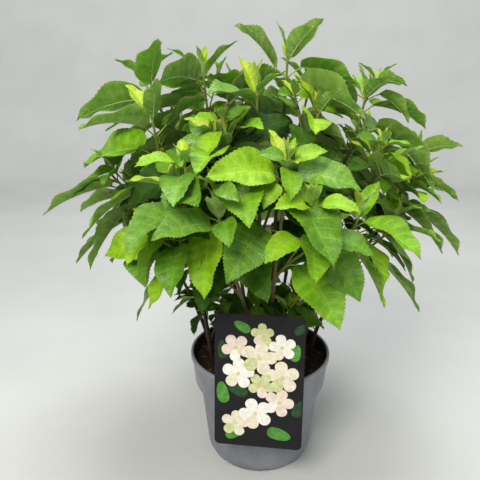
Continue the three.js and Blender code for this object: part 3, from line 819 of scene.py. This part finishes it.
# In the shade low inside its crown the plant has dropped a share of its leaves, and its stems show there.
bare = {"below": 345, "within": 0.7, "share": 0.5, "seed": 3001}


def dropped(leaf, random):
    x, y, z = onMidrib(leaf, 0.5)
    shaded = z < bare["below"] and math.hypot(x, y) < bare["within"] * crown["radius"]
    return shaded and next(random) < bare["share"]


grown = [growBough(row) for row in boughs]
mainShoots, bigLeaves = [], []
falls = numbers(bare["seed"])
for i, bough in enumerate(grown):
    random = numbers(leafRule["firstSeed"] + leafRule["seedStep"] * i)
    corners = nodePoints("foliage_" + bough["name"])
    for shoot in (bough["leader"], bough["side"]):
        found = [asBuilt(leaf, corners) for leaf in leavesOf(shoot, random)]
        shoot["leaves"] = [leaf for leaf in found if leaf and not dropped(leaf, falls)]
        bigLeaves += shoot["leaves"]
        mainShoots.append(shoot)
print("leaves of the part kept:", len(bigLeaves))

# Side shoots: how likely one is in a leaf's axil by the order of its pair, their size against the shoot's
# own, and how far they go out and up. Basal ones stand low on each stem. No leaf of theirs comes nearer to
# another than clear, or less for a leaf shorter than fullLength, and a shoot with fewer leaves than least
# isn't made.
sideRule = {
    "chance": (0, 0, 0.25, 0.65, 0.65, 0.55, 0.5), "scale": (0.38, 0.62), "out": (14, 40), "up": (34, 78),
    "swing": 0.6, "lift": 8, "leafFrom": 0.12, "radius": (1.25, 0.6), "clear": 6.5, "fullLength": 60,
    "least": 3, "below": 560, "seed": 7001,
    "basal": 2, "basalHeight": (190, 252), "basalScale": (0.34, 0.5), "basalOut": (14, 34),
    "basalUp": (24, 56),
}


# Inside the crown's two half ellipses, clear of the label, the pot and the soil.
def inCrown(spots):
    x, y, z = spots.T
    up = z - crown["level"]
    tall = np.abs(up) / np.where(up > 0, crown["above"], crown["below"])
    wide = np.hypot(x, y) / crown["radius"]
    ahead = -pot["lipRadius"] - y
    labelTop = pot["height"] + label["height"] - label["belowRim"]
    hides = (ahead > -crown["labelBehind"]) & (np.abs(x) < label["width"] / 2 + crown["labelAside"]) \
        & (z < labelTop + crown["labelSlope"] * ahead)
    inPot = (np.hypot(x, y) < pot["lipRadius"] + crown["rimAside"]) & (z < pot["height"] + crown["rimOver"])
    return not (hides | inPot | (tall ** crown["square"] + wide ** crown["square"] > 1)).any()


sideShoots, smallLeaves = [], []
taken = np.concatenate([probes(leaf) for leaf in bigLeaves])


# A side shoot from its root, with those of its leaves that find room between the ones already there.
def growSide(root, heading, scale, out, up, random):
    global taken
    tip = root + np.array([out * math.cos(heading), out * math.sin(heading), up])
    shoot = newShoot(shootCurve(root, tip), 0.0, scale, math.degrees(heading) + 90, sideRule["leafFrom"],
                     sideRule["lift"])
    shoot["thick"] = lerp(*sideRule["radius"], radiusSteps) * (0.7 + 0.6 * scale)
    kept = []
    for leaf in leavesOf(shoot, random):
        for aside in leafRule["tries"]:
            tried = turned(leaf, aside)
            spots = probes(tried)
            if not inCrown(spots):
                continue
            near = ((taken[None] - spots[:, None]) ** 2).sum(-1).min()
            if near > (sideRule["clear"] * min(1, leaf["length"] / sideRule["fullLength"])) ** 2:
                kept.append((tried, spots))
                break
    if len(kept) < sideRule["least"]:
        return
    taken = np.concatenate([taken] + [spots for _, spots in kept])
    shoot["leaves"] = [leaf for leaf, _ in kept]
    sideShoots.append(shoot)
    smallLeaves.extend(shoot["leaves"])


random = numbers(sideRule["seed"])
for shoot in mainShoots:
    for leaf in shoot["leaves"]:
        chance, size, far, high, swing = (next(random) for _ in range(5))
        if chance > sideRule["chance"][leaf["order"]] or leaf["node"][2] > sideRule["below"]:
            continue
        heading = leaf["heading"] + sideRule["swing"] * (swing - 0.5)
        growSide(leaf["node"], heading, lerp(*sideRule["scale"], size), lerp(*sideRule["out"], far),
                 lerp(*sideRule["up"], high), random)
for bough in grown:
    for _ in range(sideRule["basal"]):
        share, turn, size, far, high = (next(random) for _ in range(5))
        heights = onCurve(bough["leader"]["curve"], np.linspace(0, bough["bareEnd"], 40))
        root = heights[np.argmin(np.abs(heights[:, 2] - lerp(*sideRule["basalHeight"], share)))]
        growSide(root, 2 * math.pi * turn, lerp(*sideRule["basalScale"], size),
                 lerp(*sideRule["basalOut"], far), lerp(*sideRule["basalUp"], high), random)
print("side shoots:", len(sideShoots), "with", len(smallLeaves), "leaves")

# The bare stems: young bark with nodes that swell, shallow ribs and a flared foot, set a little into the
# soil. ripe tells the bark how old it is, from the foot up.
bareStem = {
    "stations": 70, "sides": 14, "nodeEvery": 46, "nodeSwell": 0.24, "nodeLength": 3.2, "nodeShift": 11,
    "rib": 0.05, "ribFade": 0.6, "ribTwist": 17, "fineRibTwist": 9, "ripe": (1, 0.62),
}


# A stem's radius is its even taper times 1 + swell e^-(d / nodeLength)^2, with d the way to the nearest
# node, and times 1 + rib (sin(3a + l / 17) + 0.7 sin(5a - l / 9)), whose ribs wind a little and fade
# upwards.
def makeStems():
    paths, radii, ripe, swells = [], [], [], []
    turn = fullTurn(bareStem["sides"])
    for index, bough in enumerate(grown):
        leader, bareEnd = bough["leader"], bough["bareEnd"]
        t = np.linspace(0, bareEnd, bareStem["stations"])
        run = np.interp(t, curveSteps, leader["lengths"])
        every = bareStem["nodeEvery"]
        off = (run + bareStem["nodeShift"] * index) % every
        bell = np.exp(-((np.minimum(off, every - off)) / bareStem["nodeLength"]) ** 2)
        paths.append(onCurve(leader["curve"], t))
        radii.append(boughRadius(leader["length"], t) * (1 + bareStem["nodeSwell"] * bell))
        coarse = np.sin(3 * turn[None] + run[:, None] / bareStem["ribTwist"] + index)
        rib = coarse + 0.7 * np.sin(5 * turn[None] - run[:, None] / bareStem["fineRibTwist"])
        swells.append(1 + bareStem["rib"] * rib * (1 - bareStem["ribFade"] * t / bareEnd)[:, None])
        ripe.append(np.repeat(lerp(*bareStem["ripe"], t / bareEnd), bareStem["sides"]))
    paths = np.array(paths)
    paths[:, 0, 2] -= stem["overSoil"]
    points = tubePoints(paths, np.array(radii), bareStem["sides"], np.array(swells))
    faces = ringFaces(len(paths), bareStem["stations"], bareStem["sides"])
    piece = makePiece("bare_stems", points, faces, [bark], values={"ripe": np.concatenate(ripe)}, sharp=60)
    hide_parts(*["stem_" + row[0] for row in boughs])


foliage = ["foliage_" + row[0] for row in boughs]
leafy = {
    "overlap": 0.004, "nodeSwell": 0.28, "nodeLength": 2.6, "tip": 0.3,
    "ripeAt": (0, 60, 320), "ripeHigh": (0, 0.22),
}


# Leafy shoots: tubes on their own curves that thicken by a bell curve at each pair of leaves, and narrow at
# the tip. Their bark ripens with the distance from it.
def makeShoots(name, shoots, stations, sides, ripeFoot):
    paths, radii, ripe = [], [], []
    for shoot in shoots:
        t = np.linspace(max(0.0, shoot["start"] - leafy["overlap"]), 1, stations)
        run = np.interp(t, curveSteps, shoot["lengths"])
        thick = np.interp(t, radiusSteps, shoot["thick"])
        nodes = np.array([pair[0] * shoot["scale"] for pair in pairs])
        away = np.abs((shoot["length"] - run)[:, None] - nodes)
        thick = thick * (1 + leafy["nodeSwell"] * np.exp(-(away / leafy["nodeLength"]) ** 2).max(1))
        thick[-1] *= leafy["tip"]
        paths.append(onCurve(shoot["curve"], t))
        radii.append(thick)
        ages = np.interp(shoot["length"] - run, leafy["ripeAt"], [*leafy["ripeHigh"], ripeFoot])
        ripe.append(np.repeat(ages, sides))
    points = tubePoints(np.array(paths), np.array(radii), sides)
    faces = ringFaces(len(shoots), stations, sides)
    piece = makePiece(name, points, faces, [bark], values={"ripe": np.concatenate(ripe)}, sharp=60)
    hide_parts(*foliage)


makeStems()
makeShoots("leafy_shoots", mainShoots, 72, 10, 0.66)
makeShoots("side_shoots", sideShoots, 14, 6, 0.5)

# A blade: rows of points run from the midrib out to the margin and forwards, as the veins do, and the veins
# part it into eight. Parts of the blade's length: how far a row is swept, the lobe beside the stalk, a
# tooth, the quilting between two veins, the waves of the margin and the thickness under the midrib, which
# is never less than thinnest. The veins' widths and heights are those of a blade as long as usual, but the
# rib's heights above and below are parts of its width, and a side vein stops short by a part of its last
# stretch.
blade = {
    "parts": 8, "sweep": 0.11, "lobe": 0.055, "tooth": 0.009, "quilt": 0.011, "wave": 0.03, "thick": 0.008,
    "thinnest": 0.35, "columns": (1, 0.5, 0, -0.5, -1), "usual": 110,
    "ribWidth": (2.1, 0.5), "ribHeight": 0.16, "ribBelow": 0.4,
    "sideWidths": (0.8, 0.6, 0.24), "sideHeights": (0.3, 0.22, 0.04), "sideShort": 0.16,
    "belowWidths": (0.8, 0.6, 0.32), "belowHeights": (0.5, 0.35, 0.06),
}


# A blade's upper points, rows by columns, and the points under its inner columns, back the other way. With
# m along the midrib and v from -1 to 1 across: the margin of a row lies at m + 4 sweep m(1-m), less a lobe
# that fades from the stalk. A point's share goes from m towards that with |v|, and its reach is v times the
# half width there. Its height rises with the fold, the quilting sin^2(8 pi m), which is nil at the veins,
# and a wave that grows to the margin. The blade is thickest at the midrib, and thins towards its margin and
# its tip.
def bladePoints(batch, rows, raised=0.0):
    m = (np.arange(1, rows + 1) / (rows + 1))[None, :, None]
    v = np.array(blade["columns"], float)[None, None]
    length, fold, phase, width = spread(batch, "length", "fold", "phase", "half")
    margin = m + 4 * blade["sweep"] * m * (1 - m)
    half = width * length * bladeShape(margin)
    odd = np.where(np.arange(1, rows + 1) % 2, 1.0, -0.5)[None, :, None]
    fade = np.sqrt(np.sin(np.pi * m))
    atEdge = np.abs(v) == 1
    edgeShare = margin - blade["lobe"] * np.exp(-m / 0.05) + 0.35 * odd * fade / (rows + 1) * atEdge
    share = m + (edgeShare - m) * np.abs(v) ** 1.15
    reach = v * half * np.cos(fold) + np.sign(v) * atEdge * odd * blade["tooth"] * length * fade
    over = half * np.sin(fold) * (1.3 * np.abs(v) - 0.3 * v ** 2)
    between = np.sin(blade["parts"] * np.pi * m) ** 2
    quilt = blade["quilt"] * length * between * np.sin(np.pi * np.abs(v)) ** 0.5
    wave = blade["wave"] * length * np.sin(2 * np.pi * (2.2 * m + phase) + 1.9 * (v > 0)) * v ** 2 * fade
    over = over + quilt + wave
    thick = np.maximum(blade["thick"] * length * (1.1 - m), blade["thinnest"]) * (1 - 0.9 * np.abs(v))
    inner = slice(-2, 0, -1)
    under = onLeaf(batch, share[..., inner], reach[..., inner], (over - thick - raised)[..., inner])
    return onLeaf(batch, share, reach, over + raised), under


# How near each point of a ring lies to a vein, from 0 to 1: cos^4(8 pi m), fading outwards, and 1 on the
# midrib.
def ribShare(rows):
    m = (np.arange(1, rows + 1) / (rows + 1))[:, None]
    columns = blade["columns"]
    v = np.abs(np.array(columns + columns[-2:0:-1]))[None]
    near = np.where(v == 0, 1.0, (1.0 - 0.55 * v) * np.cos(blade["parts"] * np.pi * m) ** 4)
    return np.concatenate([near.ravel(), [1.0, 0.6]])


# The finishes dealt to a leaf by its pair's order from the tip, in equal shares. A blade whose middle lies
# deep inside the crown, or low within it, gets darker greens instead: painted shade of the rest of the plant.
tintsByOrder = (
    ("leafUnfolding", "leafNew"), ("leafNew", "leafFresh", "leafNew"),
    ("leafFresh", "leafGrown", "leafBright", "leafCool"),
    ("leafFresh", "leafBright", "leafGrown", "leafCool"),
    ("leafBright", "leafFresh", "leafGrown", "leafBright"),
    ("leafBright", "leafFresh", "leafGrown", "leafShaded"),
    ("leafGrown", "leafShaded", "leafFresh"),
)
paintedShade = {
    "deep": 0.3, "low": 300, "within": 0.62, "fromOrder": 2,
    "tints": ("leafDeepPaintedShade", "leafShaded", "leafDeepPaintedShade", "leafGrown"),
}


# Deep: r^2 + h^2 < deep, with r and h the parts of the crown's radius and of its height above its level.
def leafTint(leaves, random):
    tints = []
    for leaf in leaves:
        x, y, z = onMidrib(leaf, 0.5)
        out = math.hypot(x, y) / crown["radius"]
        deep = out ** 2 + max(0, (z - crown["level"]) / crown["above"]) ** 2 < paintedShade["deep"]
        low = z < paintedShade["low"] and out < paintedShade["within"]
        # a leaf in the crown's shade takes the darker greens: painted shade
        shaded = (deep or low) and leaf["order"] >= paintedShade["fromOrder"]
        options = paintedShade["tints"] if shaded else tintsByOrder[leaf["order"]]
        tints.append(leafNames.index(options[int(next(random) * len(options))]))
    return np.array(tints)


# Blades as closed thin shells. A ring is a row's columns and the points under them, and the ends are the
# stalk's end and the tip.
def makeBlades(name, leaves, rows, random):
    batch = stacked(leaves)
    batch["phase"] = np.array([next(random) for _ in leaves])
    top, under = bladePoints(batch, rows)
    tips = np.tile([[[0.0], [1.0]]], (len(leaves), 1, 1))
    ends = onLeaf(batch, tips, 0.0, np.array([-0.3, 0.0])[None, :, None])
    rings = np.concatenate([top, under], 2).reshape(len(leaves), -1, 3)
    points = np.concatenate([rings, ends[:, :, 0]], 1)
    sides = rings.shape[1] // rows
    quads, fans = ringFaces(len(leaves), rows, sides, poles=True)
    upper = np.arange(sides) < len(blade["columns"]) - 1
    # an underside face starts at its second corner, to split along the same diagonal as the one above
    quads[:, :, ~upper] = np.roll(quads[:, :, ~upper], -1, -1)
    tints = leafTint(leaves, random)
    bySide = np.where(upper[None], tints[:, None], len(leafFinishes))
    marks = [np.broadcast_to(bySide[:, None], quads.shape[:3]), np.concatenate([bySide, bySide], 1)]
    rib = np.tile(ribShare(rows), len(leaves))
    finishes = leafFinishes + [leafUnderside]
    piece = makePiece(name, points, [quads, fans], finishes, marks, {"rib": rib}, sharp=70)
    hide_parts(*foliage)
    return {**batch, "tint": tints}


# How wide a leaf's veins and stalk are against a usual leaf's: the square root of its length's share.
def slimness(batch):
    return np.sqrt(batch["length"] / blade["usual"])[:, None]


# Veins as slim three-sided ridges, whose rings go from one foot over the crest to the other. On each side
# of the blade runs the midrib, and on broad leaves a pair of side veins between two parts, sinking in
# before the margin.
def makeVeins(name, batch, rows, every, sideVeins):
    top, under = bladePoints(batch, rows)
    high, low = bladePoints(batch, rows, 1.0)
    middle, beneath = len(blade["columns"]) // 2, under.shape[2] // 2
    tint, pale = batch["tint"], np.full(len(batch["tint"]), len(veinFinishes))
    scale = slimness(batch)[:, None]
    ridges, marks = [], []

    # feet lie sideways and opposite of the path by half the width, and the crest up from it by the height
    def addRidge(path, up, sideways, opposite, widths, heights, finish):
        widths, heights = (np.array(sizes)[None, :, None] * scale for sizes in (widths, heights))
        ridges.append(np.stack([path + unit(sideways) * widths / 2, path + unit(up) * heights,
                                path + unit(opposite) * widths / 2], 2))
        marks.append(finish)

    picked = np.arange(0, rows, every)
    widths = np.linspace(*blade["ribWidth"], len(picked))
    path, right, left = (top[:, picked, middle + column] for column in (0, -1, 1))
    up = high[:, picked, middle] - path
    addRidge(path, up, right - path, left - path, widths, widths * blade["ribHeight"], tint)
    path = under[:, picked, beneath]
    up = low[:, picked, beneath] - path
    addRidge(path, up, left - path, right - path, widths, widths * blade["ribBelow"], pale)
    step = (rows + 1) // blade["parts"]
    for row in np.arange(step - 1, rows - 1, step) if sideVeins else ():
        for hand in (1, -1):
            outwards = [middle, middle - hand, middle - 2 * hand]
            path, ahead, behind = (top[:, at][:, outwards] for at in (row, row + 1, row - 1))
            up = high[:, row][:, outwards] - path
            path = path + np.array([0, 0, -blade["sideShort"]])[None, :, None] * (path - path[:, [0, 1, 1]])
            forward = unit(ahead - behind) * hand
            addRidge(path, up, -forward, forward, blade["sideWidths"], blade["sideHeights"], tint)
            path, up = (grid[:, row][:, [beneath, beneath + hand]] for grid in (under, low))
            up = (up - path)[:, [0, 1, 1]]
            end = lerp(path[:, 1:], top[:, row, [middle - 2 * hand]], 0.45)
            path = np.concatenate([path, end], 1)
            addRidge(path, up, forward, -forward, blade["belowWidths"], blade["belowHeights"], pale)
    points, faceSets, numbersOf, shift = [], [], [], 0
    for rings, finish in zip(ridges, marks):
        quads, ends = ringFaces(rings.shape[0], rings.shape[1], 3)
        points.append(rings.reshape(-1, 3))
        faceSets += [quads + shift, ends + shift]
        numbersOf += [np.repeat(finish, quads[0].size // 4), np.repeat(finish, 2)]
        shift += rings.size // 3
    finishes = veinFinishes + [undersideVein]
    piece = makePiece(name, np.concatenate(points), faceSets, finishes, numbersOf, sharp=80)
    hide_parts(*foliage)


stalkRule = {"radius": 0.95, "ends": 0.55, "bow": 0.07, "meets": 0.03, "under": 0.35}


# Leaf stalks: a curve (1-t)^2 a + 2t(1-t) b + t^2 c from inside the twig to the blade, bowed a little
# upwards, and thicker by 1 + ends (2t - 1)^2 towards both its ends.
def makeStalks(name, batch, stations, sides):
    t = np.linspace(0, 1, stations)[None, :, None]
    bow = 0.5 * (batch["node"] + batch["neck"])
    bow[:, 2] += stalkRule["bow"] * batch["stalk"]
    meets = np.full((len(bow), 1, 1), stalkRule["meets"])
    end = onLeaf(batch, meets, 0.0, -stalkRule["under"])[:, 0, 0]
    paths = (1 - t) ** 2 * batch["node"][:, None] + 2 * t * (1 - t) * bow[:, None] + t ** 2 * end[:, None]
    radii = (1.0 + stalkRule["ends"] * (2 * t[..., 0] - 1) ** 2) * stalkRule["radius"] * slimness(batch)
    faces = ringFaces(len(bow), stations, sides)
    piece = makePiece(name, tubePoints(paths, radii, sides), faces, [leafStalk], sharp=80)
    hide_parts(*foliage)


# Each kind of leaf: how many rows its blades have, at how many of them the midrib has a ring, whether there
# are side veins, and the stations and sides of its stalks.
leafKinds = {
    "broad": {"leaves": bigLeaves, "rows": 39, "every": 2, "sideVeins": True, "stations": 7, "sides": 6},
    "small": {"leaves": smallLeaves, "rows": 15, "every": 3, "sideVeins": False, "stations": 4, "sides": 4},
}
random = numbers(515)
for kind, k in leafKinds.items():
    batch = makeBlades(kind + "_leaves", k["leaves"], k["rows"], random)
    makeVeins(kind + "_leaf_veins", batch, k["rows"], k["every"], k["sideVeins"])
    makeStalks(kind + "_leaf_stalks", batch, k["stations"], k["sides"])
print("foliage made")

# In metres: a plain pale floor that turns up into a wall, soft lights round the plant, each with its place,
# its size, its watts, what it aims at and its colour, and a camera that looks slightly down.
studio = {
    "floor": "#c9cbc9", "floorDark": "#c4c6c4", "reach": 3.4, "bend": 0.7, "wall": 2.6, "under": 0.0004,
    "segments": 96, "bendSteps": 12, "sky": "#eef1f4", "skyStrength": 0.5,
    "lights": [
        ("key", (-0.6, -1.7, 2.0), 0.9, 52.0, (0, 0, 0.38), "#fffaf0"),
        ("fill", (1.7, -1.0, 1.3), 1.6, 5.0, (0, 0, 0.38), "#f3f7ff"),
        ("top", (0.1, 0.2, 2.5), 1.3, 38.0, (0, 0, 0.38), "#ffffff"),
        ("backdrop", (0.0, 1.1, 1.9), 1.4, 20.0, (0.0, 3.4, 1.5), "#ffffff"),
    ],
    "camera": (0.0, -0.7419, 0.5866), "pitch": 16.47, "yaw": 2.58, "lens": 36.88,
}


def inScene(thing):
    bpy.context.scene.collection.objects.link(thing)
    return thing


# The floor's line goes out from the middle and up a quarter circle, and is turned about the axis.
def makeFloor():
    count, bend = studio["segments"], studio["bend"]
    quarter = np.linspace(0, np.pi / 2, studio["bendSteps"])
    flat = studio["reach"] - bend
    reach = np.concatenate([[0.4, 1.2], flat + bend * np.sin(quarter), [studio["reach"]]])
    height = np.concatenate([[0, 0], bend * (1 - np.cos(quarter)), [studio["wall"]]]) - studio["under"]
    rings = aroundAxis(reach[:, None], fullTurn(count), height[:, None])
    points = np.concatenate([rings.reshape(-1, 3), [[0, 0, -studio["under"]]]])
    near = np.arange(count)
    far = np.roll(near, -1)
    step = count * np.arange(len(reach) - 1)[:, None]
    quads = np.stack([near + step, near + step + count, far + step + count, far + step], -1).reshape(-1, 4)
    fan = np.stack([np.full(count, len(points) - 1), near, far], -1)
    mesh = bpy.data.meshes.new("floor")
    mesh.from_pydata(points.tolist(), [], quads.tolist() + fan.tolist())
    mesh.polygons.foreach_set("use_smooth", np.ones(len(mesh.polygons), bool))
    mesh.materials.append(mottled(
        "mattPaintedBoard", {"Roughness": 0.7}, studio["floorDark"], studio["floor"],
        grain=240, bumpGrain=40, depth=0.02))
    floor = inScene(bpy.data.objects.new("floor", mesh))


def makeLights():
    world = bpy.data.worlds.new("studioSky")
    world.use_nodes = True
    sky = world.node_tree.nodes["Background"].inputs
    sky["Color"].default_value = tone(studio["sky"])
    sky["Strength"].default_value = studio["skyStrength"]
    bpy.context.scene.world = world
    for name, spot, size, power, aim, colour in studio["lights"]:
        lamp = bpy.data.lights.new(name, "AREA")
        lamp.size, lamp.energy, lamp.color = size, power, tone(colour)[:3]
        holder = inScene(bpy.data.objects.new(name, lamp))
        holder.location = spot
        x, y, z = np.array(spot) - np.array(aim)
        holder.rotation_euler = (math.atan2(math.hypot(x, y), z), 0, math.atan2(x, -y))


def makeCamera():
    camera = inScene(bpy.data.objects.new("camera", bpy.data.cameras.new("camera")))
    camera.data.lens = studio["lens"]
    camera.data.sensor_width = 36
    camera.data.clip_start = 0.02
    camera.location = studio["camera"]
    camera.rotation_euler = (math.radians(90 - studio["pitch"]), 0, math.radians(studio["yaw"]))
    bpy.context.scene.camera = camera
    bpy.context.scene.view_settings.view_transform = "Standard"


makeFloor()
makeLights()
makeCamera()
print("studio made")
